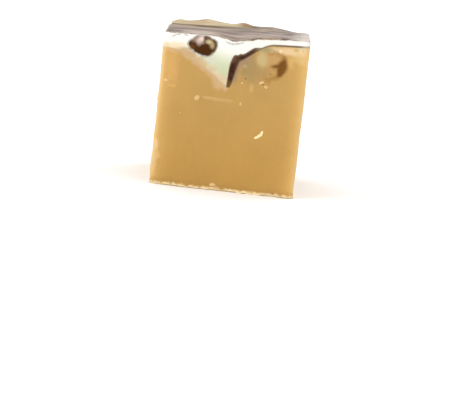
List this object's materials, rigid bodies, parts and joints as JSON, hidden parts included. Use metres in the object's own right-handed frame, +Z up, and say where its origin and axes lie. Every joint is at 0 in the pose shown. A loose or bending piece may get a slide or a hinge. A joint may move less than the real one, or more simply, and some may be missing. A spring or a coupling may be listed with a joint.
{
  "type": "fudge cube",
  "caption": "Cut cube of caramel fudge with a pale vanilla layer dragged down into it as a trough and a thin, marbled chocolate skin on top.",
  "frame": {"origin": "middle of the cube's box, on the flat base that it stands on", "axes": "+Z up, -Y towards the cut face that shows the trough and the eye, +X to the right of that face"},
  "size_m": [0.0426, 0.0428, 0.0463],
  "materials": {
    "caramel_fudge": "waxy satin caramel fudge, smooth from the knife, a little translucent at the edges",
    "vanilla_fudge": "smooth milky vanilla fudge",
    "chocolate_fudge": "dark chocolate fudge with pale streaks and a soft bloom"
  },
  "bodies": {
    "root": {"caramel_body": "caramel_fudge", "vanilla_swirl": "vanilla_fudge", "chocolate_skin": "chocolate_fudge"}
  },
  "joints": []
}
